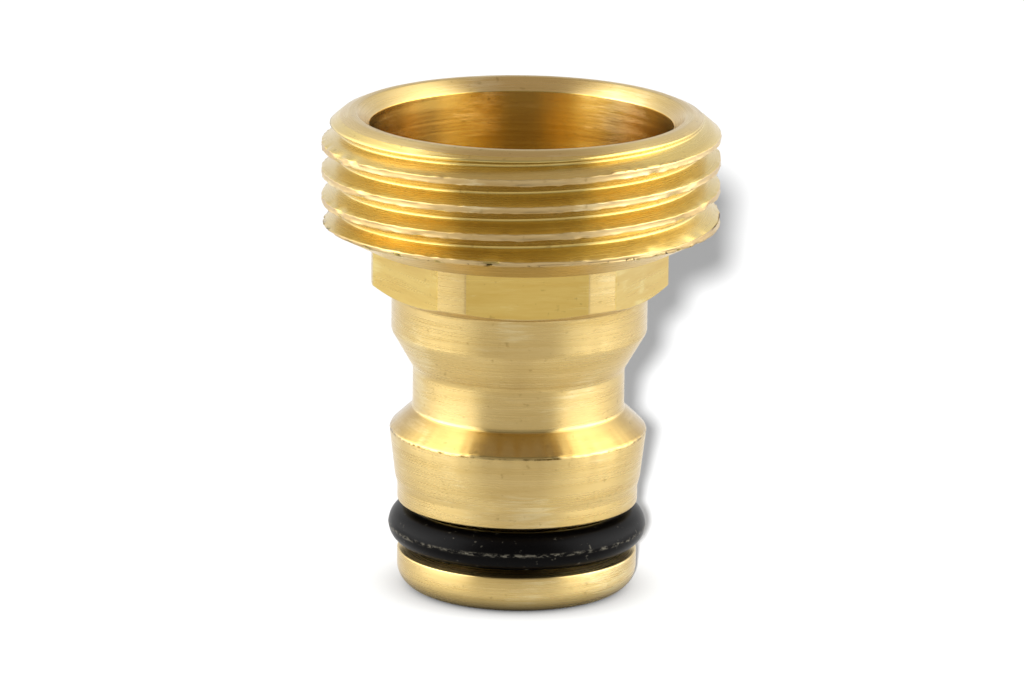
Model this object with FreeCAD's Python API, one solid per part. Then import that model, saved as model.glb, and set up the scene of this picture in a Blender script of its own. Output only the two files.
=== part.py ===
import FreeCAD, Part
import math
import os

# Threaded hose connector: a turned brass body with a male pipe thread at the top and a
# push-in hose nipple at the bottom, and the rubber ring that seals the nipple.
# Millimetres. The axis is Z, the part stands on the nose of the nipple at Z = 0,
# and -Y is the front. Heights are stacked from the nose up.

V = FreeCAD.Vector

# Nipple, from the nose up
nose_d = 16.04
nose_length = 2.60
nose_round = 1.50
ring_groove_width = 3.35
ring_groove_root_d = 12.18
pilot_d = 16.08
pilot_length = 1.10
collar_step_d = 16.42
collar_step_length = 0.62
collar_d = 17.20
collar_taper_length = 3.28
catch_shoulder_length = 1.42
neck_d = 14.14
neck_length = 2.77
neck_flare_length = 2.53
barrel_d = 17.06
barrel_length = 2.54

# Spanner hexagon, with turned lands on its corners
hex_across_flats = 18.10
hex_land_d = 19.80
hex_land_length = 2.82
hex_bevel_deg = 25.0
hex_turn_deg = 3.2

# Male pipe thread, 55 degree form, right handed, with the lip under it
lip_d = 20.80
underside_deg = 27.0
thread_d = 26.441
thread_pitch = 1.814
thread_depth = 1.162
thread_angle_deg = 55.0
thread_crest_flat = 0.41
thread_length = 7.29
front_crest_rise = 0.11
groove_start_deg = -172.0

# Rim and the hollow inside
rim_ridge_outer_d = 22.80
rim_ridge_inner_d = 21.90
rim_slope_d = 24.10
rim_slope_deg = 23.0
lead_in_deg = 40.0
cup_d = 20.15
cup_depth = 5.90
rim_bore_bevel_deg = 43.0
drill_point_deg = 118.0
waterway_d = 9.50
waterway_mouth_bevel = 0.50

# Sealing ring
ring_cord_d = 2.50
ring_seat_clearance = 0.02

# The small bevel on both edges of the ring's groove
edge_break = 0.12


def slope(run, degrees):
    """Height gained over a radial run on a face this many degrees off level."""
    return run * math.tan(math.radians(degrees))


# Heights worked out from the lengths above
groove_low_z = nose_length
groove_high_z = groove_low_z + ring_groove_width
pilot_top_z = groove_high_z + pilot_length
step_top_z = pilot_top_z + collar_step_length
collar_top_z = step_top_z + collar_taper_length
neck_low_z = collar_top_z + catch_shoulder_length
neck_top_z = neck_low_z + neck_length
barrel_low_z = neck_top_z + neck_flare_length
barrel_top_z = barrel_low_z + barrel_length
land_low_z = barrel_top_z + slope((hex_land_d - barrel_d) / 2, hex_bevel_deg)
land_top_z = land_low_z + hex_land_length
thread_low_z = land_top_z + slope((thread_d - lip_d) / 2, underside_deg)
rim_z = thread_low_z + thread_length
lead_in_top_z = rim_z - slope((rim_slope_d - rim_ridge_outer_d) / 2, rim_slope_deg)
thread_high_z = lead_in_top_z - slope((thread_d - rim_slope_d) / 2, lead_in_deg)
cup_edge_z = rim_z - slope((rim_ridge_inner_d - cup_d) / 2, rim_bore_bevel_deg)
cup_floor_z = rim_z - cup_depth
waterway_top_z = cup_floor_z - slope((cup_d - waterway_d) / 2, 90 - drill_point_deg / 2)


def corner(before, here, after, radius):
    """The two tangent points and the middle of the arc that rounds one corner."""
    to_before = (before - here).normalize()
    to_after = (after - here).normalize()
    half = to_before.getAngle(to_after) / 2
    reach = radius / math.tan(half)
    middle = (to_before + to_after).normalize()
    start = here + to_before * reach
    end = here + to_after * reach
    arc_middle = here + middle * (radius / math.sin(half) - radius)
    return start, arc_middle, end


def rounded_outline(corners):
    """A closed wire in the XZ plane through corners given as radius, height, rounding."""
    points = [V(r, 0, z) for r, z, rounding in corners]
    edges = []
    arcs = []
    for i, (r, z, rounding) in enumerate(corners):
        if rounding > 0:
            following = points[(i + 1) % len(points)]
            arcs.append(corner(points[i - 1], points[i], following, rounding))
        else:
            arcs.append((points[i], None, points[i]))
    for i, (start, middle, end) in enumerate(arcs):
        if middle is not None:
            edges.append(Part.Arc(start, middle, end).toShape())
        next_start = arcs[(i + 1) % len(arcs)][0]
        edges.append(Part.LineSegment(end, next_start).toShape())
    return Part.Wire(edges)


def turned_blank():
    """The whole body as it leaves the lathe, before the thread and the flats."""
    outline = [
        (waterway_d / 2 + waterway_mouth_bevel, 0, 0),
        (nose_d / 2, 0, nose_round),
        (nose_d / 2, groove_low_z - edge_break, 0),
        (nose_d / 2 - edge_break, groove_low_z, 0),
        (ring_groove_root_d / 2, groove_low_z, 0),
        (ring_groove_root_d / 2, groove_high_z, 0),
        (pilot_d / 2 - edge_break, groove_high_z, 0),
        (pilot_d / 2, groove_high_z + edge_break, 0),
        (pilot_d / 2, pilot_top_z, 0),
        (collar_step_d / 2, step_top_z, 0),
        (collar_d / 2, collar_top_z, 0),
        (neck_d / 2, neck_low_z, 0),
        (neck_d / 2, neck_top_z, 0),
        (barrel_d / 2, barrel_low_z, 0),
        (barrel_d / 2, barrel_top_z, 0),
        (hex_land_d / 2, land_low_z, 0),
        (hex_land_d / 2, land_top_z, 0),
        (lip_d / 2, land_top_z, 0),
        (thread_d / 2, thread_low_z, 0),
        (thread_d / 2, thread_high_z, 0),
        (rim_slope_d / 2, lead_in_top_z, 0),
        (rim_ridge_outer_d / 2, rim_z, 0),
        (rim_ridge_inner_d / 2, rim_z, 0),
        (cup_d / 2, cup_edge_z, 0),
        (cup_d / 2, cup_floor_z, 0),
        (waterway_d / 2, waterway_top_z, 0),
        (waterway_d / 2, waterway_mouth_bevel, 0),
    ]
    return Part.Face(rounded_outline(outline)).revolve(V(0, 0, 0), V(0, 0, 1), 360)


def flat_cutter(angle_deg):
    """What the mill takes off for one spanner flat, up to the lip."""
    flat_x = hex_across_flats / 2
    low_z = (barrel_low_z + barrel_top_z) / 2
    size = V(thread_d, 2 * thread_d, land_top_z - low_z)
    cutter = Part.makeBox(size.x, size.y, size.z, V(flat_x, -size.y / 2, low_z))
    cutter.rotate(V(0, 0, 0), V(0, 0, 1), angle_deg)
    return cutter


def thread_groove():
    """The helical groove between the crests, from its end at the back to past the rim."""
    root_r = thread_d / 2 - thread_depth
    mouth_r = thread_d / 2 + thread_depth / 2
    flank = math.tan(math.radians(thread_angle_deg / 2))
    root_half = (thread_pitch - thread_crest_flat) / 2 - thread_depth * flank
    mouth_half = root_half + (mouth_r - root_r) * flank
    section = Part.makePolygon([
        V(root_r, 0, -root_half),
        V(root_r, 0, root_half),
        V(mouth_r, 0, mouth_half),
        V(mouth_r, 0, -mouth_half),
        V(root_r, 0, -root_half),
    ])
    turns = math.ceil(thread_length / thread_pitch) + 1
    path = Part.Wire(Part.makeLongHelix(thread_pitch, turns * thread_pitch, root_r).Edges)
    groove = path.makePipeShell([section], True, True)
    # The helix starts at +X and is turned back to its start angle, counted from the front.
    # At the front its root lies half a pitch above the middle of the lowest crest.
    root_at_front_z = thread_low_z + front_crest_rise + thread_pitch / 2
    groove.rotate(V(0, 0, 0), V(0, 0, 1), groove_start_deg - 90)
    groove.translate(V(0, 0, root_at_front_z + thread_pitch * groove_start_deg / 360))
    return groove


def connector_body():
    body = turned_blank()
    flats = [flat_cutter(60 * i - 90 + hex_turn_deg) for i in range(6)]
    body = body.cut(flats)
    body = body.cut(thread_groove())
    return body.Solids[0]


def o_ring():
    cord_r = ring_cord_d / 2
    middle_r = ring_groove_root_d / 2 + ring_seat_clearance + cord_r
    middle_z = groove_low_z + ring_groove_width / 2
    return Part.makeTorus(middle_r, cord_r, V(0, 0, middle_z), V(0, 0, 1))


def main():
    os.makedirs("parts", exist_ok=True)
    nodes = {"connector_body": connector_body(), "o_ring": o_ring()}
    for name, shape in nodes.items():
        box = shape.BoundBox
        print(name, shape.ShapeType, "valid", shape.isValid(), "volume", round(shape.Volume, 2),
              "box", [round(v, 3) for v in (box.XMin, box.YMin, box.ZMin, box.XMax, box.YMax, box.ZMax)])
        shape.exportStep("parts/" + name + ".step")


main()
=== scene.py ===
import math

import bmesh
import bpy
import numpy as np
from mathutils import Matrix, Vector


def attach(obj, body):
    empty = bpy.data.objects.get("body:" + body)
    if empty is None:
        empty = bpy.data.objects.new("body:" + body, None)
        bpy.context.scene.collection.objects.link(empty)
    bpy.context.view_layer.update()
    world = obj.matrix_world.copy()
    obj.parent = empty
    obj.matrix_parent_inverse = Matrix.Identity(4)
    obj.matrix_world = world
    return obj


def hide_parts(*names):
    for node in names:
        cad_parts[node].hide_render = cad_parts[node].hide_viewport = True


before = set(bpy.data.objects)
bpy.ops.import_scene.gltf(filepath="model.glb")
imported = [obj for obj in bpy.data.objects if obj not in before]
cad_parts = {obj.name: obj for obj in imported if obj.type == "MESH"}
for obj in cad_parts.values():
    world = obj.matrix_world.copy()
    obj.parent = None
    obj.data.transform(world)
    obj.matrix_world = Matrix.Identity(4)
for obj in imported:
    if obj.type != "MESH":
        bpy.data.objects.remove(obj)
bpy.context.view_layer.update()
scene = bpy.context.scene
mm = 0.001  # the frame is in metres, and the sizes below are in millimetres
samePlace = 0.002  # points closer than this are one
hair = 0.0001  # allowance for rounding errors
print("loaded", sorted(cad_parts))


# Small helpers for modelling

def deselectAll():
    for thing in bpy.context.selected_objects:
        thing.select_set(False)


def activate(thing):
    deselectAll()
    thing.select_set(True)
    bpy.context.view_layer.objects.active = thing


def pickVertices(thing, test):
    mesh = bmesh.from_edit_mesh(thing.data)
    mesh.select_mode = {"VERT"}
    for vertex in mesh.verts:
        vertex.select_set(test(vertex.co))
    mesh.select_flush_mode()
    bmesh.update_edit_mesh(thing.data)


def pickEdges(thing, test):
    mesh = bmesh.from_edit_mesh(thing.data)
    mesh.select_mode = {"EDGE"}
    for edge in mesh.edges:
        edge.select_set(test(edge))
    bmesh.update_edit_mesh(thing.data)


def drawOutline(name, corners):
    # a plane merged to one point, then pushed from corner to corner, all in the XZ plane; a
    # corner is its radius and height, how far it is rounded and in how many steps
    deselectAll()
    radius, height = corners[0][:2]
    bpy.ops.mesh.primitive_plane_add(size=mm, location=(radius * mm, 0, height * mm))
    line = bpy.context.active_object
    line.name = line.data.name = name
    bpy.ops.object.transform_apply(location=True, rotation=True, scale=True)
    bpy.ops.object.mode_set(mode="EDIT")
    bpy.ops.mesh.select_all(action="SELECT")
    bpy.ops.mesh.merge(type="CENTER")
    for before, after in zip(corners, corners[1:]):
        step = ((after[0] - before[0]) * mm, 0, (after[1] - before[1]) * mm)
        bpy.ops.mesh.extrude_region_move(TRANSFORM_OT_translate={"value": step})
    for radius, height, reach, segments in corners[1:-1]:
        if reach:
            place = Vector((radius * mm, 0, height * mm))
            pickVertices(line, lambda co: (co - place).length < samePlace * mm)
            bpy.ops.mesh.bevel(offset=reach * mm, segments=segments, affect="VERTICES")
    return line


def spinDrawing(columns):
    bpy.ops.mesh.select_all(action="SELECT")
    bpy.ops.mesh.spin(steps=columns, angle=2 * math.pi, center=(0, 0, 0), axis=(0, 0, 1))


def readPoints(thing):
    # the radius, angle and height of each point
    points = np.empty(len(thing.data.vertices) * 3)
    thing.data.vertices.foreach_get("co", points)
    x, y, height = (points.reshape(-1, 3) / mm).T
    return np.hypot(x, y), np.arctan2(y, x), height


def writePoints(thing, radius, angle, height):
    points = np.column_stack([radius * np.cos(angle), radius * np.sin(angle), height])
    thing.data.vertices.foreach_set("co", (points * mm).ravel())
    thing.data.update()


def readFaces(faces, what):
    values = np.empty(len(faces) * 3)
    faces.foreach_get(what, values)
    return values.reshape(-1, 3).T


def mergeDoubles():
    bpy.ops.mesh.select_all(action="SELECT")
    bpy.ops.mesh.remove_doubles(threshold=samePlace * mm)
    bpy.ops.mesh.normals_make_consistent(inside=False)
    bpy.ops.object.mode_set(mode="OBJECT")


# Brass body, in millimetres and degrees
body = {
    "columns": 320,           # facets around the axis
    "noseRadius": 8.02,
    "grooveLow": 2.60, "grooveHigh": 5.95, "grooveRootRadius": 6.09,
    "pilotRadius": 8.04, "pilotTop": 7.05,
    "stepRadius": 8.21, "stepTop": 7.67,
    "collarRadius": 8.60, "collarTop": 10.95,
    "neckRadius": 7.07, "neckLow": 12.37, "neckTop": 15.14,
    "barrelRadius": 8.53, "barrelLow": 17.67, "barrelTop": 20.21,
    "landRadius": 9.90, "landLow": 20.849, "landTop": 23.669,
    "flatDistance": 9.05, "hexTurn": 3.2,
    "lipRadius": 10.40, "undersideSlope": 27.0,
    "ridgeOuterRadius": 11.40, "ridgeInnerRadius": 10.95, "rimTop": 32.396,
    "rimSlopeRadius": 12.05, "rimSlopeEnd": 32.120, "leadInSlope": 40.0,
    "cupRadius": 10.075, "cupEdge": 31.580, "cupFloor": 26.496,
    "waterwayRadius": 4.75, "waterwayTop": 23.297, "mouthBevel": 0.5,
    "frayReach": 0.1, "frayLevel": 0.85,   # how wide a frayed edge is, and how far it is set back
}

# how far each edge is rounded, and in how many steps
rounding = {
    "threadEnd": (0, 0),
    "lip": (0.09, 5), "hexLand": (0.05, 3), "barrelTop": (0.10, 3), "barrelLow": (0.12, 4),
    "neckTop": (0.22, 5), "neckLow": (0.18, 5), "collar": (0.16, 5), "step": (0.10, 2),
    "grooveEdge": (0.12, 4), "grooveRoot": (0.10, 3), "nose": (1.5, 12), "mouth": (0.05, 2),
    "waterwayTop": (0.10, 3), "cupFloor": (0.25, 5), "cupEdge": (0.06, 3), "ridge": (0.08, 4),
}

# the collar's upper edge, the rim's ridge and the barrel's lower edge are a little ragged:
# radius, height, by how much, seed, and 1 where the edge also wanders up and down
frayedEdges = ((8.60, 10.95, 0.05, 5, 1), (11.40, 32.396, 0.02, 2, 0), (8.53, 17.67, 0.02, 2, 0))

# Male pipe thread, right handed
thread = {
    "crestRadius": 13.2205, "rootRadius": 12.0585,
    "pitch": 1.814, "crestFlat": 0.41, "rootFlat": 0.19,
    "crestAtFront": 25.216,   # height of the middle of the lowest crest on the -Y side
    "edgeRounding": (0.05, 3),
    "flankCuts": 4, "cutAbove": 0.25,   # the edges longer than this are cut so many times
    "turns": 7,
    # the groove's lower end rises out of the metal at the back, in degrees before the front
    "grooveStart": -205.0, "grooveFull": -140.0,
    # a crest's point slides onto an edge from no further away, and from no deeper, than this
    "snapReach": 0.12, "snapDepth": 0.03,
    # where the tool rubbed the lowest crest's top edge: degrees from the front, and the shift
    "rubPlaces": (-95, -55, 0, 70, 150), "rubShifts": (0, 0.20, -0.04, -0.36, 0),
    # how far the crest can sink below its edge, and how far in and down the edge goes with it
    "sunkMost": 0.2, "sunkIn": 0.97, "sunkDown": 0.49,
    # the burr that the tool pushed up along the crests' edges, and along the underside's edge
    "burrHeight": 0.07, "burrReach": 0.07, "burrWander": 0.035, "burrSpacing": 1.6,
    "burrSeed": 5, "burrLevel": 0.25,
    "rimBurrPlaces": (-180, -75, -60, 20, 32, 84, 100, 180),
    "rimBurrHeights": (0, 0, 0.02, 0.02, 0.06, 0.08, 0.03, 0),
    # pits in the underside's edge: degrees from the front, depth
    "pits": ((-69.4, 0.30), (-58.3, 0.26), (-49.5, 0.34), (-37.2, 0.22), (-23.8, 0.16),
             (-9, 0.12), (24, 0.12), (36, 0.22), (43, 0.18), (52, 0.26), (61, 0.20),
             (110, 0.18), (150, 0.12), (-120, 0.2)),
    # nicks in the crests: degrees along the groove, 1 for the crest above it or -1 for the one
    # below, depth, width
    "nicks": ((1015, -1, 0.22, 3.0), (1024, -1, 0.18, 1.6), (1003, -1, 0.12, 1.5),
              (-37.2, -1, 0.10, 1.6), (-8.5, -1, 0.12, 2.6),
              (41, -1, 0.16, 2.0), (57, -1, 0.20, 2.8), (66, -1, 0.18, 2.2), (18, 1, 0.08, 1.2),
              (-64, 1, 0.12, 1.6), (-31, 1, 0.08, 1.4), (52, 1, 0.13, 1.8), (71, 1, 0.12, 2.4),
              (296, -1, 0.14, 2.0), (308, 1, 0.10, 1.6), (337, 1, 0.07, 1.1),
              (372, -1, 0.06, 1.0), (409, 1, 0.12, 1.9), (425, -1, 0.13, 2.2),
              (655, 1, 0.13, 2.1), (668, -1, 0.10, 1.5), (702, 1, 0.06, 1.2),
              (761, 1, 0.09, 1.6), (778, -1, 0.12, 2.0), (130, -1, 0.12, 2.0),
              (190, 1, 0.10, 1.8), (221, -1, 0.12, 2.2), (530, 1, 0.12, 1.9),
              (575, -1, 0.10, 1.7)),
}


def undersideSlope():
    return math.tan(math.radians(body["undersideSlope"]))


def leadInSlope():
    return math.tan(math.radians(body["leadInSlope"]))


def threadFoot():
    # the height at which the thread's root meets the underside
    return body["landTop"] + (thread["rootRadius"] - body["lipRadius"]) * undersideSlope()


def hexEdgeShift(angle):
    # the columns nearest to the corners of the flats slide onto them
    column = 2 * math.pi / body["columns"]
    half = math.acos(body["flatDistance"] / body["landRadius"])
    corners = []
    for i in range(6):
        middle = math.radians(60 * i - 90 + body["hexTurn"])
        corners += [(middle - half) % (2 * math.pi), (middle + half) % (2 * math.pi)]
    corners = np.sort(corners)
    nearest = np.round(corners / column) * column
    return np.interp(angle % (2 * math.pi), nearest, corners - nearest, period=2 * math.pi)


def raggedLine(seed, along):
    # seeded random values from 0 to 1, a new one every few degrees along the thread
    limit = 360 * thread["turns"]
    places = np.arange(-limit, limit, thread["burrSpacing"])
    return np.interp(along, places, np.random.default_rng(seed).random(len(places)))


def frayEdges(radius, angle, height):
    newRadius, newHeight = radius, height
    for edgeRadius, edgeHeight, size, seed, upright in frayedEdges:
        away = (radius - edgeRadius) ** 2 + (height - edgeHeight) ** 2
        near = np.exp(-away / body["frayReach"] ** 2)
        ragged = raggedLine(seed, np.degrees(angle)) - body["frayLevel"]
        newRadius = newRadius + size * ragged * near
        newHeight = newHeight + size * ragged * near * upright
    return newRadius, newHeight


def millFlats(radius, angle, height):
    # each column's outline ends at one of the six flats instead of at the round land
    b = body
    middle = np.round((np.degrees(angle) + 90 - b["hexTurn"]) / 60) * 60 - 90 + b["hexTurn"]
    cut = b["flatDistance"] / np.cos(angle - np.radians(middle))
    cut = np.minimum(cut, b["landRadius"])
    share = (cut - b["barrelRadius"]) / (b["landRadius"] - b["barrelRadius"])
    outside = radius > b["neckRadius"]
    cone = outside & (height > b["barrelTop"]) & (height < b["landLow"])
    land = outside & (height >= b["landLow"]) & (height <= b["landTop"] + hair)
    shelf = land & (radius >= b["landRadius"])
    inner = land & ~shelf
    newRadius, newHeight = radius.copy(), height.copy()
    coneLow = b["barrelTop"]
    newRadius[cone] = (b["barrelRadius"] + (radius - b["barrelRadius"]) * share)[cone]
    newHeight[cone] = (coneLow + (height - coneLow) * share)[cone]
    flatLow = coneLow + (b["landLow"] - coneLow) * share
    up = (height - b["landLow"]) / (b["landTop"] - b["landLow"])
    newHeight[land] = (flatLow + (b["landTop"] - flatLow) * up)[land]
    newRadius[inner] = (radius - b["landRadius"] + cut)[inner]
    lip = b["lipRadius"]
    spread = (lip - cut) / (lip - b["landRadius"])
    shelf = shelf & (radius < lip)
    newRadius[shelf] = (lip - (lip - radius) * spread)[shelf]
    return newRadius, newHeight


def turnBody():
    b, r = body, rounding
    blank = drawOutline("turnedBlank", [
        (thread["rootRadius"], threadFoot(), *r["threadEnd"]),
        (b["lipRadius"], b["landTop"], *r["lip"]),
        (b["landRadius"], b["landTop"], *r["hexLand"]),
        (b["landRadius"], b["landLow"], *r["hexLand"]),
        (b["barrelRadius"], b["barrelTop"], *r["barrelTop"]),
        (b["barrelRadius"], b["barrelLow"], *r["barrelLow"]),
        (b["neckRadius"], b["neckTop"], *r["neckTop"]),
        (b["neckRadius"], b["neckLow"], *r["neckLow"]),
        (b["collarRadius"], b["collarTop"], *r["collar"]),
        (b["stepRadius"], b["stepTop"], *r["step"]),
        (b["pilotRadius"], b["pilotTop"], *r["step"]),
        (b["pilotRadius"], b["grooveHigh"], *r["grooveEdge"]),
        (b["grooveRootRadius"], b["grooveHigh"], *r["grooveRoot"]),
        (b["grooveRootRadius"], b["grooveLow"], *r["grooveRoot"]),
        (b["noseRadius"], b["grooveLow"], *r["grooveEdge"]),
        (b["noseRadius"], 0, *r["nose"]),
        (b["waterwayRadius"] + b["mouthBevel"], 0, *r["mouth"]),
        (b["waterwayRadius"], b["mouthBevel"], *r["mouth"]),
        (b["waterwayRadius"], b["waterwayTop"], *r["waterwayTop"]),
        (b["cupRadius"], b["cupFloor"], *r["cupFloor"]),
        (b["cupRadius"], b["cupEdge"], *r["cupEdge"]),
        (b["ridgeInnerRadius"], b["rimTop"], *r["ridge"]),
        (b["ridgeOuterRadius"], b["rimTop"], *r["ridge"]),
        (b["rimSlopeRadius"], b["rimSlopeEnd"], *r["threadEnd"]),
    ])
    spinDrawing(b["columns"])
    bpy.ops.object.mode_set(mode="OBJECT")
    radius, angle, height = readPoints(blank)
    angle = angle + hexEdgeShift(angle)
    radius, height = frayEdges(radius, angle, height)
    radius, height = millFlats(radius, angle, height)
    writePoints(blank, radius, angle, height)
    return blank


def roughenCrests(radius, height, along, fromRoot, cutShare):
    # fromRoot is the height above the middle of the groove: the crest above it or the one below
    t = thread
    fromEdge = np.abs(fromRoot) - (t["pitch"] - t["crestFlat"]) / 2
    upper = fromRoot > 0
    nearEdge = np.exp(-(fromEdge / t["burrReach"]) ** 2) * cutShare
    burr = np.where(upper, raggedLine(t["burrSeed"], along), raggedLine(t["burrSeed"] + 1, along))
    wander = raggedLine(t["burrSeed"] + 2, along) - 0.5
    radius = radius + t["burrHeight"] * burr ** 2 * nearEdge
    height = height + 2 * t["burrWander"] * wander * nearEdge
    wideEdge = np.exp(-(fromEdge / (2 * t["burrReach"])) ** 2) * cutShare
    for place, side, nickDepth, width in t["nicks"]:
        here = np.where(upper == (side > 0), np.exp(-((along - place) / width) ** 2), 0)
        radius = radius - nickDepth * here * wideEdge
    return radius, height


def snapToEdge(radius, height, column, edgeHeight):
    # in each column the crest's nearest point slides onto the edge, so that the edge is crisp
    t = thread
    gap = np.abs(height - edgeHeight)
    gap[radius < t["crestRadius"] - t["snapDepth"]] = np.inf
    order = np.lexsort((gap, column))
    first = order[np.unique(column[order], return_index=True)[1]]
    first = first[gap[first] < t["snapReach"]]
    height[first] = edgeHeight
    radius[first] = t["crestRadius"]
    return first


def burrUnderside(fromFront, edgeHeight):
    t = thread
    # where the crest has sunk below the edge, the edge lies on the flank, further in and lower
    crestTop = t["crestAtFront"] + t["pitch"] * fromFront / 360 + t["crestFlat"] / 2
    crestTop = crestTop + np.interp(fromFront, t["rubPlaces"], t["rubShifts"])
    sunk = np.clip(edgeHeight - crestTop, 0, t["sunkMost"])
    size = np.interp(fromFront, t["rimBurrPlaces"], t["rimBurrHeights"])
    out = raggedLine(t["burrSeed"] + 3, fromFront) * size
    down = (raggedLine(t["burrSeed"] + 4, fromFront) - t["burrLevel"]) * size
    for place, depth in t["pits"]:
        pit = depth * np.exp(-(fromFront - place) ** 2)
        out, down = out - pit, down - pit / 2
    return t["crestRadius"] + out - t["sunkIn"] * sunk, edgeHeight - down - t["sunkDown"] * sunk


def screwTube():
    # the outline of one pitch, screwed up round the axis
    t = thread
    rise = (t["pitch"] - t["crestFlat"] - t["rootFlat"]) / 2
    half = t["rootFlat"] / 2
    # the screw starts at +X, a quarter turn after the front, with a root two pitches down
    start = t["crestAtFront"] + t["pitch"] / 4 - t["pitch"] / 2 - 2 * t["pitch"]
    tube = drawOutline("threadTube", [
        (t["rootRadius"], start, *rounding["threadEnd"]),
        (t["rootRadius"], start + half, *t["edgeRounding"]),
        (t["crestRadius"], start + half + rise, *t["edgeRounding"]),
        (t["crestRadius"], start + half + rise + t["crestFlat"], *t["edgeRounding"]),
        (t["rootRadius"], start + half + 2 * rise + t["crestFlat"], *t["edgeRounding"]),
        (t["rootRadius"], start + t["pitch"], *rounding["threadEnd"]),
    ])
    pickEdges(tube, lambda edge: edge.calc_length() > t["cutAbove"] * mm)
    bpy.ops.mesh.subdivide(number_cuts=t["flankCuts"])
    bpy.ops.object.mode_set(mode="OBJECT")
    screw = tube.modifiers.new("screw", "SCREW")
    screw.axis = "Z"
    screw.steps = screw.render_steps = body["columns"]
    screw.iterations = t["turns"]
    screw.screw_offset = t["pitch"] * mm
    activate(tube)
    bpy.ops.object.modifier_apply(modifier=screw.name)
    return tube


def runOutEnds(radius, height, column, fromFront):
    # the ends of the screw run out on the lead-in above and on the underside below
    t, b = thread, body
    lowR, lowZ = t["rootRadius"], threadFoot()
    highR, highZ = b["rimSlopeRadius"], b["rimSlopeEnd"]
    highEdge = highZ - (t["crestRadius"] - highR) * leadInSlope()
    lowEdge = lowZ + (t["crestRadius"] - lowR) * undersideSlope()
    snapToEdge(radius, height, column, highEdge)
    onLowEdge = snapToEdge(radius, height, column, lowEdge)
    under = lowR + (height - lowZ) / undersideSlope()
    leadIn = highR + (highZ - height) / leadInSlope()
    radius = np.minimum(radius, np.minimum(under, leadIn))
    radius[onLowEdge], height[onLowEdge] = burrUnderside(fromFront[onLowEdge], lowEdge)
    below, above = height <= lowZ, height >= highZ
    radius[below], height[below] = lowR, lowZ
    radius[above], height[above] = highR, highZ
    return radius, height


def cutThread():
    t, b = thread, body
    tube = screwTube()
    radius, angle, height = readPoints(tube)
    column = np.round(angle * b["columns"] / (2 * math.pi)).astype(int) % b["columns"]
    shift = hexEdgeShift(angle)
    angle = angle + shift
    height = height + t["pitch"] * shift / (2 * math.pi)

    # which groove a point is on, in degrees along it from the front of the lowest full one
    fromFront = (np.degrees(angle) + 90 + 180) % 360 - 180
    rootHeight = t["crestAtFront"] + t["pitch"] * (0.5 + fromFront / 360)
    turn = np.round((height - rootHeight) / t["pitch"])
    along = 360 * turn + fromFront
    depth = t["crestRadius"] - t["rootRadius"]
    cutShare = np.clip((along - t["grooveStart"]) / (t["grooveFull"] - t["grooveStart"]), 0, 1)
    radius = np.minimum(t["crestRadius"], radius + depth * (1 - cutShare))
    fromRoot = height - rootHeight - turn * t["pitch"]
    halfGroove = (t["pitch"] - t["crestFlat"]) / 2
    rubbed = np.interp(along, t["rubPlaces"], t["rubShifts"])
    height = height + np.clip(-fromRoot / halfGroove, 0, 1) * rubbed
    radius, height = roughenCrests(radius, height, along, fromRoot, cutShare)
    radius, height = runOutEnds(radius, height, column, fromFront)
    writePoints(tube, radius, angle, height)
    activate(tube)
    bpy.ops.object.mode_set(mode="EDIT")
    mergeDoubles()
    return tube


def sharpenFlats(thing):
    # the flats meet the round lands in crisp edges, so those edges are marked sharp
    b = body
    cornerAngle = math.degrees(math.acos(b["flatDistance"] / b["landRadius"]))
    shortest, widest = 0.01, 0.05   # millimetres of rise, and degrees from a corner

    def isCorner(edge):
        low, high = sorted((edge.verts[0].co.z / mm, edge.verts[1].co.z / mm))
        here = (edge.verts[0].co + edge.verts[1].co) / 2 / mm
        upright = high - low > shortest and b["barrelTop"] < low and high < b["landTop"]
        onLand = abs(math.hypot(here.x, here.y) - b["landRadius"]) < samePlace
        turned = (math.degrees(math.atan2(here.y, here.x)) + 90 - b["hexTurn"]) % 60
        fromCorner = min(abs(turned - cornerAngle), abs(60 - turned - cornerAngle))
        return upright and onLand and fromCorner < widest

    activate(thing)
    bpy.ops.object.mode_set(mode="EDIT")
    pickEdges(thing, isCorner)
    bpy.ops.mesh.mark_sharp()
    bpy.ops.object.mode_set(mode="OBJECT")


# where a finish starts or ends; a slope is the upward part of a face's normal
finishLimits = {
    "barrelGap": 0.02, "landGap": 0.01, "flatGap": 0.003,
    "threadInside": 1.0, "threadSlope": -0.93,
    "undersideSlope": -0.87, "undersideTop": 25.15,
    "crestGap": 0.04, "crestSlope": 0.6, "crestTop": 31.2,
    "cupGap": 0.05, "neckGap": 0.05,
}


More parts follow.
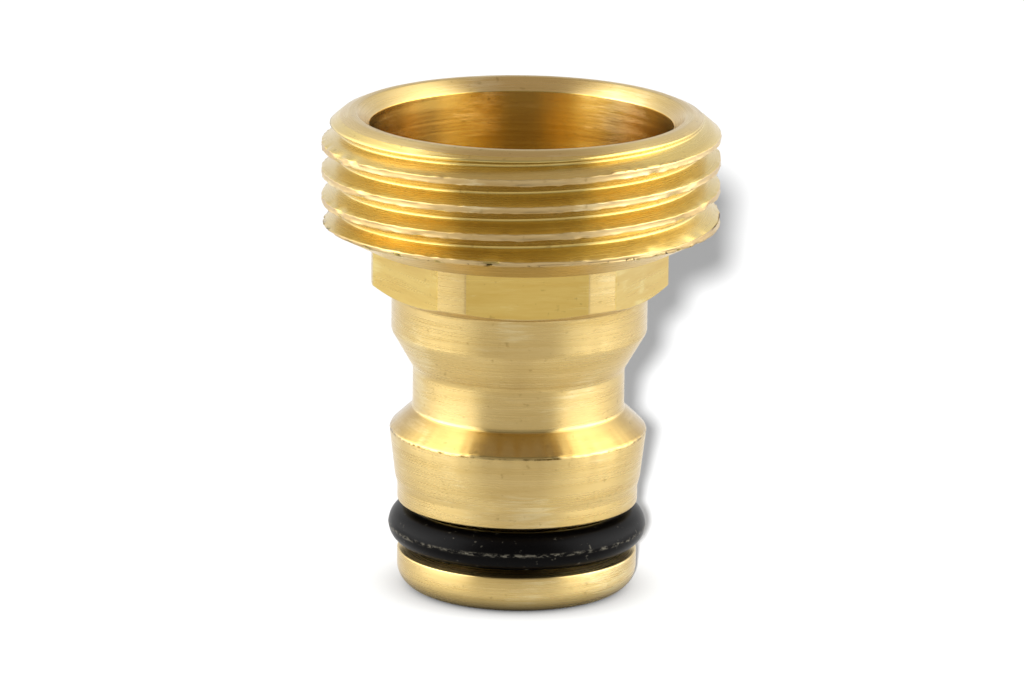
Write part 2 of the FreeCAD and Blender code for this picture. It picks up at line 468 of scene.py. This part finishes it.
def assignFinishes(thing):
    # the finish of each face, by where it lies; the finishes are in the order of brass below
    b, t, f = body, thread, finishLimits
    number = {name: place for place, name in enumerate(brass)}
    faces = thing.data.polygons
    x, y, height = readFaces(faces, "center") / mm
    facingUp = readFaces(faces, "normal")[2]
    radius = np.hypot(x, y)
    finish = np.full(len(faces), number["turned"])

    hexagon = (radius > b["barrelRadius"] + f["barrelGap"]) & (height > b["barrelTop"])
    hexagon = hexagon & (height < b["landTop"] - f["landGap"])
    turned = (np.degrees(np.arctan2(y, x)) + 90 + 30 - b["hexTurn"]) % 60 - 30
    fromFlat = np.abs(radius * np.cos(np.radians(turned)) - b["flatDistance"])
    finish[hexagon & (fromFlat < f["flatGap"])] = number["milled"]

    above = height > b["landTop"] + f["landGap"]
    threaded = above & (radius > t["rootRadius"] - f["threadInside"])
    finish[threaded & (facingUp > f["threadSlope"])] = number["threaded"]
    underside = above & (radius < t["crestRadius"]) & (height < f["undersideTop"])
    finish[underside & (facingUp < f["undersideSlope"])] = number["turned"]
    crest = above & (radius > t["crestRadius"] - f["crestGap"]) & (height < f["crestTop"])
    finish[crest & (np.abs(facingUp) < f["crestSlope"])] = number["rubbed"]
    finish[(radius > b["ridgeInnerRadius"]) & (height > b["rimSlopeEnd"])] = number["turned"]

    cup = (radius < b["cupRadius"] + f["cupGap"]) & (height < b["cupEdge"])
    # the cup and the waterway take the bored brass, whose darker colour is partly painted shade
    finish[cup & (height > b["waterwayTop"])] = number["boredAndShaded"]
    finish[cup & (height > b["mouthBevel"]) & (radius < b["grooveRootRadius"])] = number["boredAndShaded"]
    shoulder = (height > b["collarTop"]) & (height < b["neckLow"])
    finish[shoulder & (radius > b["neckRadius"] + f["neckGap"])] = number["faced"]
    faces.foreach_set("material_index", finish)


def makeBody():
    blank = turnBody()
    tube = cutThread()
    blankFaces = len(blank.data.polygons)
    activate(blank)
    tube.select_set(True)
    bpy.ops.object.join()
    blank.name = blank.data.name = "brassConnectorBody"
    bpy.ops.object.mode_set(mode="EDIT")
    mergeDoubles()
    sharpenFlats(blank)
    bpy.ops.object.shade_smooth()
    assignFinishes(blank)
    print("body faces", blankFaces, len(blank.data.polygons))
    return blank


# Rubber ring, in millimetres
ring = {
    "cordRadius": 1.25, "middleRadius": 7.36, "middleHeight": 4.275,
    "flashHeight": 0.03, "flashWidth": 0.10,
    "cordFacets": 72, "columns": 320,
}


def makeRing():
    r = ring
    deselectAll()
    bpy.ops.mesh.primitive_circle_add(
        vertices=r["cordFacets"], radius=r["cordRadius"] * mm,
        location=(r["middleRadius"] * mm, 0, r["middleHeight"] * mm),
        rotation=(math.pi / 2, 0, 0))
    cord = bpy.context.active_object
    cord.name = cord.data.name = "rubberSealRing"
    bpy.ops.object.transform_apply(location=True, rotation=True, scale=True)
    bpy.ops.object.mode_set(mode="EDIT")
    spinDrawing(r["columns"])
    mergeDoubles()

    # the seam of the two mould halves stands a hair proud inside and outside
    radius, angle, height = readPoints(cord)
    across = (height - r["middleHeight"]) / r["flashWidth"]
    proud = r["flashHeight"] * np.exp(-across ** 2) * np.sign(radius - r["middleRadius"])
    writePoints(cord, radius + proud, angle, height)
    activate(cord)
    bpy.ops.object.shade_smooth()
    return cord


# Small helpers for materials

white = (1, 1, 1, 1)
black = (0, 0, 0, 1)


def linear(hexColour):
    # an sRGB hex colour as linear red, green, blue and alpha
    values = [int(hexColour[i:i + 2], 16) / 255 for i in (1, 3, 5)]
    return [v / 12.92 if v <= 0.04045 else ((v + 0.055) / 1.055) ** 2.4 for v in values] + [1]


def addNode(tree, kind, settings=None, inputs=None):
    node = tree.nodes.new(kind)
    for key, value in (settings or {}).items():
        setattr(node, key, value)
    for key, value in (inputs or {}).items():
        if isinstance(value, bpy.types.NodeSocket):
            tree.links.new(value, node.inputs[key])
        else:
            node.inputs[key].default_value = value
    return node


def calculate(tree, operation, *values):
    inputs = dict(enumerate(values))
    return addNode(tree, "ShaderNodeMath", {"operation": operation}, inputs).outputs[0]


def vectorMath(tree, operation, inputs):
    return addNode(tree, "ShaderNodeVectorMath", {"operation": operation}, inputs).outputs


def stretch(tree, place, factors):
    return vectorMath(tree, "MULTIPLY", {0: place, 1: factors})[0]


def remap(tree, value, low, high, newLow=0.0, newHigh=1.0):
    return addNode(tree, "ShaderNodeMapRange", {}, {
        "Value": value, "From Min": low, "From Max": high,
        "To Min": newLow, "To Max": newHigh}).outputs[0]


def noise(tree, place, scale=1.0, detail=2.0, roughness=0.5):
    return addNode(tree, "ShaderNodeTexNoise", {}, {
        "Vector": place, "Scale": scale, "Detail": detail, "Roughness": roughness}).outputs[0]


def blend(tree, share, under, over):
    return addNode(tree, "ShaderNodeMix", {"data_type": "RGBA"},
                   {0: share, 6: under, 7: over}).outputs[2]


def addBump(tree, height, depth):
    return addNode(tree, "ShaderNodeBump", {}, {
        "Height": height, "Strength": 1.0, "Distance": depth * mm}).outputs[0]


def fromLevel(tree, place, level):
    # how far a point lies above or below this height
    parts = addNode(tree, "ShaderNodeSeparateXYZ", {}, {0: place})
    return calculate(tree, "ABSOLUTE", calculate(tree, "SUBTRACT", parts.outputs[2], level))


def emptyMaterial(name):
    material = bpy.data.materials.new(name)
    material.use_nodes = True
    material.node_tree.nodes.clear()
    return material, material.node_tree


def newMaterial(name):
    material, tree = emptyMaterial(name)
    shader = addNode(tree, "ShaderNodeBsdfPrincipled")
    addNode(tree, "ShaderNodeOutputMaterial", {}, {"Surface": shader.outputs[0]})
    return material, tree, shader


ringLean = 1.62  # how much faster the rings follow each other across the axis than along it


def latheCoordinates(tree, alongScale, aroundScale):
    # one axis runs along the cut, the other two go round the part once
    place = addNode(tree, "ShaderNodeTexCoord").outputs["Object"]
    inMm = vectorMath(tree, "SCALE", {0: place, "Scale": 1 / mm})[0]
    x, y, height = addNode(tree, "ShaderNodeSeparateXYZ", {}, {0: inMm}).outputs
    flat = addNode(tree, "ShaderNodeCombineXYZ", {}, {0: x, 1: y}).outputs[0]
    radius = vectorMath(tree, "LENGTH", {0: flat})["Value"]
    way = vectorMath(tree, "NORMALIZE", {0: flat})[0]
    way = vectorMath(tree, "SCALE", {0: way, "Scale": aroundScale})[0]
    along = calculate(tree, "MULTIPLY_ADD", radius, ringLean, height)
    along = calculate(tree, "MULTIPLY", along, alongScale)
    rise = addNode(tree, "ShaderNodeCombineXYZ", {}, {2: along}).outputs[0]
    return inMm, vectorMath(tree, "ADD", {0: way, 1: rise})[0]


# Free-cutting brass in six finishes, all metal, with the pale yellow of a fresh cut. The
# lathe leaves fine rings, which stretch each highlight along the axis.
brass = {
    "turned": {"colour": "#cbb175", "deepColour": "#c2a667", "rubbedColour": "#d4bf8a",
               "roughness": 0.28, "anisotropy": 0.84, "markSpacing": 0.12, "markDepth": 0.0008},
    "milled": {"colour": "#d3b768", "deepColour": "#c8a654", "rubbedColour": "#dbc680",
               "roughness": 0.29, "anisotropy": 0.4, "markSpacing": 0.16, "markDepth": 0.0012},
    "threaded": {"colour": "#ceb66f", "deepColour": "#c9ad64", "rubbedColour": "#d4be7c",
                 "roughness": 0.25, "anisotropy": 0.80, "markSpacing": 0.10, "markDepth": 0.0003},
    # the bore's brass is a real bored finish, with its colour darkened as painted shade inside
    # the cup and the waterway
    "boredAndShaded": {"colour": "#c6a85a", "deepColour": "#b9954a", "rubbedColour": "#d8bf82",
              "roughness": 0.21, "anisotropy": 0.84, "markSpacing": 0.20, "markDepth": 0.0015},
    "rubbed": {"colour": "#c4aa78", "deepColour": "#b3935a", "rubbedColour": "#dac99a",
               "roughness": 0.36, "anisotropy": 0.5, "markSpacing": 0.16, "markDepth": 0.0050},
    "faced": {"colour": "#b3985a", "deepColour": "#ac8e50", "rubbedColour": "#bca26b",
              "roughness": 0.19, "anisotropy": 0.7, "markSpacing": 0.10, "markDepth": 0.0006},
}

# the marks that all six finishes share; a stretch is across, across and along the lathe's axis
brassMarks = {
    "ringAround": 0.8, "levelStretch": 0.1,
    "rings": {"detail": 3.0, "roughness": 0.6}, "ringLimits": (0.3, 0.7),
    "smoother": 0.03, "rougher": 0.04,     # how far the roughness varies with the rings
    # the bands left by the tool's slower drift
    "bandStretch": (1.1, 1.1, 0.16), "bands": {"detail": 4.0, "roughness": 0.7},
    "bandLimits": (0.4, 0.7),
    # short streaks where the part was rubbed, in patches
    "streakStretch": (3.6, 3.6, 0.42), "streaks": {"detail": 5.0, "roughness": 0.75},
    "patches": {"scale": 0.22}, "rubLimits": (1.08, 1.26),
    # specks of tarnish about a quarter of a millimetre across
    "specks": {"scale": 2.2}, "speckLimits": (0.66, 0.76, 0.0, 0.45), "tarnish": "#8a7038",
    "anisotropicTurn": 0.25,
}

# dark dashes just below the collar's edge, and dark dots along the thread's lower edge
edgeDots = {"height": 25.15, "width": 0.11, "colour": "#3a2c10", "limits": (0.58, 0.63),
            "texture": {"scale": 1.5, "detail": 4.0, "roughness": 0.7}}
darkEdgeMarks = {
    "turned": {"height": 10.85, "width": 0.08, "colour": "#705628", "limits": (0.46, 0.60),
               "texture": {"scale": 0.9, "detail": 4.0, "roughness": 0.7}},
    "threaded": edgeDots, "rubbed": edgeDots,
}


def addDarkEdgeMarks(tree, place, colour, line):
    away = fromLevel(tree, place, line["height"])
    near = remap(tree, away, line["width"] / 2, line["width"], 1.0, 0.0)
    dashes = remap(tree, noise(tree, place, **line["texture"]), *line["limits"])
    mask = calculate(tree, "MULTIPLY", near, dashes)
    return blend(tree, mask, colour, linear(line["colour"]))


def makeBrass(finish):
    v, m = brass[finish], brassMarks
    material, tree, shader = newMaterial(finish + "Brass")
    place, lathe = latheCoordinates(tree, 1 / v["markSpacing"], m["ringAround"])
    if finish == "milled":  # the cutter went along the flats, so its marks are level lines
        lathe = stretch(tree, place, (m["levelStretch"], m["levelStretch"], 1 / v["markSpacing"]))
    rings = noise(tree, lathe, **m["rings"])
    bands = noise(tree, stretch(tree, lathe, m["bandStretch"]), **m["bands"])
    deep = remap(tree, bands, *m["bandLimits"])
    colour = blend(tree, deep, linear(v["colour"]), linear(v["deepColour"]))
    streaks = noise(tree, stretch(tree, lathe, m["streakStretch"]), **m["streaks"])
    rubbed = calculate(tree, "ADD", streaks, noise(tree, place, **m["patches"]))
    rubbed = remap(tree, rubbed, *m["rubLimits"])
    colour = blend(tree, rubbed, colour, linear(v["rubbedColour"]))
    specks = remap(tree, noise(tree, place, **m["specks"]), *m["speckLimits"])
    colour = blend(tree, specks, colour, linear(m["tarnish"]))
    # dark dashes or dots along a level, in the listed colour
    if finish in darkEdgeMarks:
        colour = addDarkEdgeMarks(tree, place, colour, darkEdgeMarks[finish])
    rough = remap(tree, rings, *m["ringLimits"],
                  v["roughness"] - m["smoother"], v["roughness"] + m["rougher"])
    around = addNode(tree, "ShaderNodeTangent", {"direction_type": "RADIAL", "axis": "Z"})
    tree.links.new(colour, shader.inputs["Base Color"])
    tree.links.new(rough, shader.inputs["Roughness"])
    tree.links.new(addBump(tree, rings, v["markDepth"]), shader.inputs["Normal"])
    tree.links.new(around.outputs[0], shader.inputs["Tangent"])
    shader.inputs["Metallic"].default_value = 1.0
    shader.inputs["Anisotropic"].default_value = v["anisotropy"]
    shader.inputs["Anisotropic Rotation"].default_value = m["anisotropicTurn"]
    return material


# Nitrile rubber from a mould: matte black, with dust in dashes along the seam and in specks
nitrileRubber = {
    "colour": "#050404", "dust": "#7c776a", "roughness": 0.30, "specular": 0.05,
    "grainSize": 0.12, "grainAround": 60, "grain": {"detail": 3.0}, "grainDepth": 0.004,
    "seamWidth": 0.16,
    "dashStretch": (2.0, 2.0, 4.0), "dashes": {"detail": 4.0, "roughness": 0.7},
    "dashLimits": (0.46, 0.62),
    "specks": {"scale": 2.6, "detail": 3.0}, "speckLimits": (0.66, 0.76, 0.0, 0.6),
}


def makeNitrileRubber():
    v = nitrileRubber
    material, tree, shader = newMaterial("nitrileRubber")
    place, lathe = latheCoordinates(tree, 1 / v["grainSize"], v["grainAround"])
    grain = noise(tree, lathe, **v["grain"])
    fromSeam = fromLevel(tree, place, ring["middleHeight"])
    onSeam = remap(tree, fromSeam, 0.0, v["seamWidth"], 1.0, 0.0)
    dashes = noise(tree, stretch(tree, place, v["dashStretch"]), **v["dashes"])
    dashes = calculate(tree, "MULTIPLY", onSeam, remap(tree, dashes, *v["dashLimits"]))
    specks = remap(tree, noise(tree, place, **v["specks"]), *v["speckLimits"])
    dust = calculate(tree, "MAXIMUM", dashes, specks)
    colour = blend(tree, dust, linear(v["colour"]), linear(v["dust"]))
    tree.links.new(colour, shader.inputs["Base Color"])
    tree.links.new(addBump(tree, grain, v["grainDepth"]), shader.inputs["Normal"])
    shader.inputs["Roughness"].default_value = v["roughness"]
    shader.inputs["Specular IOR Level"].default_value = v["specular"]
    return material


# Studio, in millimetres and degrees: white paper, a softbox to each side, pale cards overhead
# and in front, and the photograph's long lens. A brightness of 1 shows as white.
studio = {
    "aim": (-0.467, -0.311, 16.79), "distance": 501.62, "pitch": 14.437, "roll": 0.677,
    "lens": 264.57, "sensor": 36.0, "nearest": 10.0, "farthest": 20000.0,
    "roundFacets": 96,
    "paperSize": 6000.0, "paperColour": "#898989", "paperGlow": 0.18,
    "roomLight": 0.3,
    "boxReach": 300.0, "boxBack": -50.0, "boxWidth": 310.0, "boxHeight": 500.0,
    "boxBrightness": 2.9,
    "tentReach": 290.0, "tentHeight": 500.0,
    # the tent's brightness from the front round to the back, by share of its depth
    "tentGlow": ((0.0, 0.36), (0.105, 0.36), (0.205, 3.1), (0.3, 3.9), (0.48, 4.7), (0.62, 3.3),
                 (0.76, 2.0), (0.88, 1.0), (1.0, 0.72)),
    "tentFoot": 1.45, "tentTop": 0.65,     # and how it falls off from the paper to the top
    "cards": {
        "overheadCard": {"size": (420.0, 900.0), "place": (0, 0, 400.0), "turn": 0,
                         "colour": "#fff0ec", "brightness": 0.60},
        # on the paper, with one corner at the part's foot, opening a quarter turn to the front
        "frontCard": {"size": (300.0, 300.0), "place": (0, -224.0, 0.5), "turn": 45.0,
                      "colour": "#fffcfa", "brightness": 0.92},
    },
    "sunTurn": -2.3, "sunPitch": 15.25, "sunSpread": 1.7, "sunStrength": 33.0,
    # the painted contact shade under the nose: how far it reaches, and how strong it is for the
    # brass that mirrors it and for the camera
    "contactReach": 2.2, "contactMirrored": 1.3, "contactSeen": 0.5,
}


def placeCamera():
    s = studio
    pitch, roll = math.radians(s["pitch"]), math.radians(s["roll"])
    forward = Vector((0, math.cos(pitch), -math.sin(pitch)))
    right = Vector((1, 0, 0))
    upward = right.cross(forward)
    turnedRight = right * math.cos(roll) + upward * math.sin(roll)
    turnedUp = upward * math.cos(roll) - right * math.sin(roll)
    data = bpy.data.cameras.new("photoCamera")
    camera = bpy.data.objects.new("photoCamera", data)
    scene.collection.objects.link(camera)
    data.lens, data.sensor_width = s["lens"], s["sensor"]
    data.clip_start, data.clip_end = s["nearest"] * mm, s["farthest"] * mm
    turn = Matrix((turnedRight, turnedUp, -forward)).transposed().to_4x4()
    turn.translation = Vector(s["aim"]) * mm - forward * s["distance"] * mm
    camera.matrix_world = turn
    scene.camera = camera


def addLamp(name, kind, way):
    lamp = bpy.data.objects.new(name, bpy.data.lights.new(name, kind))
    scene.collection.objects.link(lamp)
    lamp.rotation_euler = Vector(way).to_track_quat("-Z", "Y").to_euler()
    return lamp


def addSoftbox(name, side):
    # a tall panel that stands on the paper and faces the part
    s = studio
    box = addLamp(name, "AREA", (-side, 0, 0))
    box.location = (side * s["boxReach"] * mm, s["boxBack"] * mm, s["boxHeight"] / 2 * mm)
    box.data.shape = "RECTANGLE"
    box.data.size, box.data.size_y = s["boxWidth"] * mm, s["boxHeight"] * mm
    box.data.energy = s["boxBrightness"] * math.pi * box.data.size * box.data.size_y
    box.visible_glossy = False


def hideFromAllButGloss(sheet):
    sheet.visible_camera = sheet.visible_diffuse = False
    sheet.visible_transmission = sheet.visible_shadow = False


def glowMaterial(name):
    material, tree = emptyMaterial(name)
    glow = addNode(tree, "ShaderNodeEmission", {}, {"Color": white, "Strength": 1.0})
    addNode(tree, "ShaderNodeOutputMaterial", {}, {"Surface": glow.outputs[0]})
    return material, glow


def layCard(name):
    # a card that only reflections see
    card = studio["cards"][name]
    width, length = card["size"]
    deselectAll()
    bpy.ops.mesh.primitive_plane_add(size=1, location=Vector(card["place"]) * mm,
                                     rotation=(0, 0, math.radians(card["turn"])))
    sheet = bpy.context.active_object
    sheet.name = name
    sheet.scale = (width * mm, length * mm, 1)
    bpy.ops.object.transform_apply(location=True, rotation=True, scale=True)
    material, glow = glowMaterial(name)
    glow.inputs["Color"].default_value = linear(card["colour"])
    glow.inputs["Strength"].default_value = card["brightness"]
    sheet.data.materials.append(material)
    hideFromAllButGloss(sheet)


def raiseTent():
    # a round light tent that only reflections see, dark towards the camera and bright beside it
    s = studio
    reach, tall = s["tentReach"] * mm, s["tentHeight"] * mm
    deselectAll()
    bpy.ops.mesh.primitive_cylinder_add(vertices=s["roundFacets"], radius=reach, depth=tall,
                                        end_fill_type="NOTHING", location=(0, 0, tall / 2))
    tent = bpy.context.active_object
    tent.name = "lightTent"
    bpy.ops.object.transform_apply(location=True, rotation=True, scale=True)
    material, glow = glowMaterial("lightTent")
    tree = material.node_tree
    place = addNode(tree, "ShaderNodeTexCoord").outputs["Object"]
    parts = addNode(tree, "ShaderNodeSeparateXYZ", {}, {0: place}).outputs
    share = remap(tree, parts[1], -reach, reach)
    ramp = addNode(tree, "ShaderNodeValToRGB", {}, {"Fac": share})
    brightest = max(value for at, value in s["tentGlow"])
    stops = ramp.color_ramp.elements
    for at, value in s["tentGlow"][1:-1]:
        stops.new(at)
    for stop, (at, value) in zip(stops, s["tentGlow"]):
        stop.position = at
        stop.color = [value / brightest] * 3 + [1]
    fall = remap(tree, parts[2], 0.0, tall, brightest * s["tentFoot"], brightest * s["tentTop"])
    strength = calculate(tree, "MULTIPLY", ramp.outputs[0], fall)
    tree.links.new(strength, glow.inputs["Strength"])
    tent.data.materials.append(material)
    hideFromAllButGloss(tent)


def addSun(paper):
    # a low lamp beside the camera, for the paper alone: it throws the shadow to the right
    s = studio
    turn, pitch = math.radians(s["sunTurn"]), math.radians(s["sunPitch"])
    level = math.cos(pitch)
    way = (-math.sin(turn) * level, math.cos(turn) * level, -math.sin(pitch))
    sun = addLamp("shadowSun", "SUN", way)
    sun.data.angle = math.radians(s["sunSpread"])
    sun.data.energy = s["sunStrength"]
    lit = bpy.data.collections.new("sunlitPaper")
    lit.objects.link(paper)
    sun.light_linking.receiver_collection = lit


def seenRays(tree):
    # 1 where the camera, a reflection or a transmission looks at the background
    path = addNode(tree, "ShaderNodeLightPath").outputs
    mirrored = calculate(tree, "ADD", path["Is Glossy Ray"], path["Is Transmission Ray"])
    seen = addNode(tree, "ShaderNodeMath", {"operation": "ADD", "use_clamp": True},
                   {0: path["Is Camera Ray"], 1: mirrored})
    return seen.outputs[0]


def layPaper():
    s = studio
    deselectAll()
    bpy.ops.mesh.primitive_circle_add(vertices=s["roundFacets"], radius=s["paperSize"] / 2 * mm,
                                      fill_type="NGON")
    paper = bpy.context.active_object
    paper.name = "whitePaper"
    material, tree = emptyMaterial("whitePaper")
    # painted contact shade: close under the nose the paper's colour and glow are darkened by how
    # much the part shuts out around it
    around = addNode(tree, "ShaderNodeAmbientOcclusion", {}, {"Distance": s["contactReach"] * mm})
    direct = addNode(tree, "ShaderNodeLightPath").outputs["Is Camera Ray"]
    power = remap(tree, direct, 0.0, 1.0, s["contactMirrored"], s["contactSeen"])
    paintedContactShade = calculate(tree, "POWER", around.outputs["AO"], power)
    tone = blend(tree, paintedContactShade, black, linear(s["paperColour"]))
    matte = addNode(tree, "ShaderNodeBsdfDiffuse", {}, {"Color": tone}).outputs[0]
    shine = calculate(tree, "MULTIPLY", paintedContactShade, s["paperGlow"])
    glow = addNode(tree, "ShaderNodeEmission", {}, {"Color": white, "Strength": shine})
    lifted = addNode(tree, "ShaderNodeAddShader", {}, {0: matte, 1: glow.outputs[0]})
    mix = addNode(tree, "ShaderNodeMixShader", {},
                  {0: seenRays(tree), 1: matte, 2: lifted.outputs[0]})
    addNode(tree, "ShaderNodeOutputMaterial", {}, {"Surface": mix.outputs[0]})
    paper.data.materials.append(material)
    return paper


def lightRoom():
    world = bpy.data.worlds.new("studioRoom")
    scene.world = world
    world.use_nodes = True
    tree = world.node_tree
    tree.nodes.clear()
    room = addNode(tree, "ShaderNodeBackground", {},
                   {"Color": white, "Strength": studio["roomLight"]})
    backdrop = addNode(tree, "ShaderNodeBackground", {}, {"Color": white, "Strength": 1.0})
    mix = addNode(tree, "ShaderNodeMixShader", {},
                  {0: seenRays(tree), 1: room.outputs[0], 2: backdrop.outputs[0]})
    addNode(tree, "ShaderNodeOutputWorld", {}, {"Surface": mix.outputs[0]})


placeCamera()
print("camera placed")

bodyPiece = makeBody()
for finish in brass:
    bodyPiece.data.materials.append(makeBrass(finish))
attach(bodyPiece, "root")
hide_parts("connector_body")
print("body made")

ringPiece = makeRing()
ringPiece.data.materials.append(makeNitrileRubber())
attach(ringPiece, "root")
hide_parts("o_ring")
print("ring made")

addSun(layPaper())
lightRoom()
addSoftbox("leftSoftbox", -1)
addSoftbox("rightSoftbox", 1)
for name in studio["cards"]:
    layCard(name)
raiseTent()
scene.view_settings.view_transform = "Standard"
print("studio lit")
